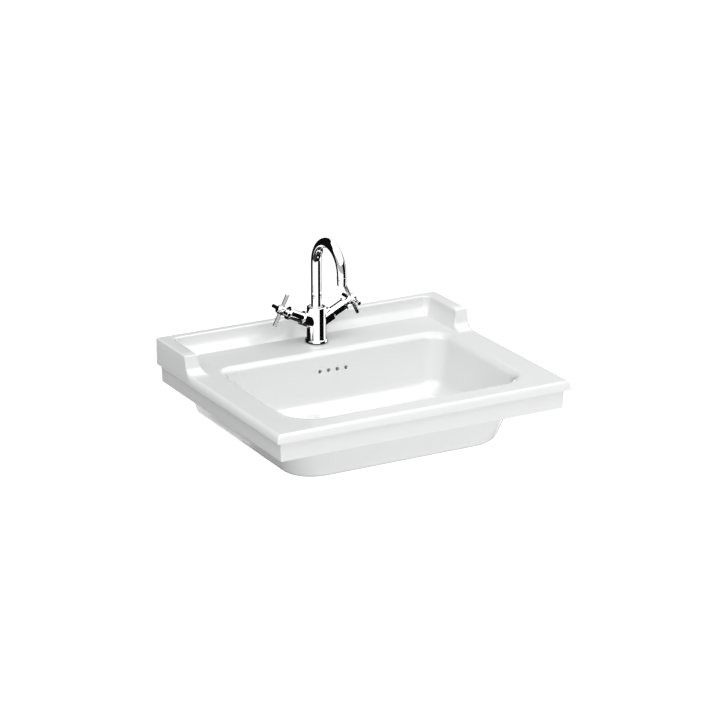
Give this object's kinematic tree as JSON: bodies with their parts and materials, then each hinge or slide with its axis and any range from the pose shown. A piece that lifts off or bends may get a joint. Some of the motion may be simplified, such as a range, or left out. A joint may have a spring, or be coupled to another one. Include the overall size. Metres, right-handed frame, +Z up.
{
  "type": "wash basin",
  "caption": "Wide rectangular ceramic wash basin with a raised back, an arched mixer tap with cross handles, and a push-to-close waste.",
  "frame": {"origin": "on the flat back face that stands against the wall, midway across the width, at the height of the deck", "axes": "+Z up, +Y into the wall, -Y towards the person at the basin, +X to that person's right"},
  "size_m": [0.65, 0.537, 0.4202],
  "materials": {
    "ceramic": "glossy white glaze",
    "chrome": "polished",
    "brass": "machined",
    "steel": "zinc plated",
    "rubber": "matte",
    "white_plastic": "moulded",
    "black_plastic": "moulded"
  },
  "bodies": {
    "basin_and_tap": {"basin": "ceramic", "cold_cartridge": "brass", "cold_collar": "chrome", "cold_valve_sleeve": "chrome", "horseshoe_gasket": "rubber", "horseshoe_washer": "steel", "hot_cartridge": "brass", "hot_collar": "chrome", "hot_valve_sleeve": "chrome", "plug_latch_housing": "white_plastic", "plug_spring": "steel", "spout_bush": "white_plastic", "spout_grub_screw": "steel", "tap_base_ring": "chrome", "tap_body": "chrome", "tap_gasket": "rubber", "tap_stud": "steel", "tap_stud_nut": "brass", "waste_backnut": "chrome", "waste_body": "chrome", "waste_lower_seal": "rubber", "waste_top_seal": "rubber"},
    "spout": {"spout": "chrome", "spout_stem": "brass", "spout_o_ring_lower": "rubber", "spout_o_ring_upper": "rubber", "aerator_housing": "chrome", "aerator_insert": "black_plastic"},
    "hot_handle": {"hot_spindle": "brass", "hot_handle_hub": "chrome", "hot_handle_arm_1": "chrome", "hot_handle_arm_2": "chrome", "hot_handle_arm_3": "chrome", "hot_handle_arm_4": "chrome", "hot_handle_screw": "steel", "hot_index_cap": "chrome"},
    "cold_handle": {"cold_spindle": "brass", "cold_handle_hub": "chrome", "cold_handle_arm_1": "chrome", "cold_handle_arm_2": "chrome", "cold_handle_arm_3": "chrome", "cold_handle_arm_4": "chrome", "cold_handle_screw": "steel", "cold_index_cap": "chrome"},
    "plug": {"plug_cap": "chrome", "plug_stem": "white_plastic", "plug_seal": "rubber"}
  },
  "joints": [
    {"name": "spout_swivel", "type": "hinge", "parent": "basin_and_tap", "child": "spout", "pos_m": [0, -0.078, 0.07], "axis": [0, 0, 1], "range_deg": [-90, 90]},
    {"name": "hot_valve", "type": "hinge", "parent": "basin_and_tap", "child": "hot_handle", "pos_m": [-0.08089, -0.078, 0.07945], "axis": [-0.8988, 0, 0.4384], "range_deg": [0, 90]},
    {"name": "cold_valve", "type": "hinge", "parent": "basin_and_tap", "child": "cold_handle", "pos_m": [0.08089, -0.078, 0.07945], "axis": [0.8988, 0, 0.4384], "range_deg": [-90, 0]},
    {"name": "plug_slide", "type": "slide", "parent": "basin_and_tap", "child": "plug", "axis": [0, 0, 1], "range_m": [-0.008, 0], "deforming": ["plug_spring"]}
  ]
}
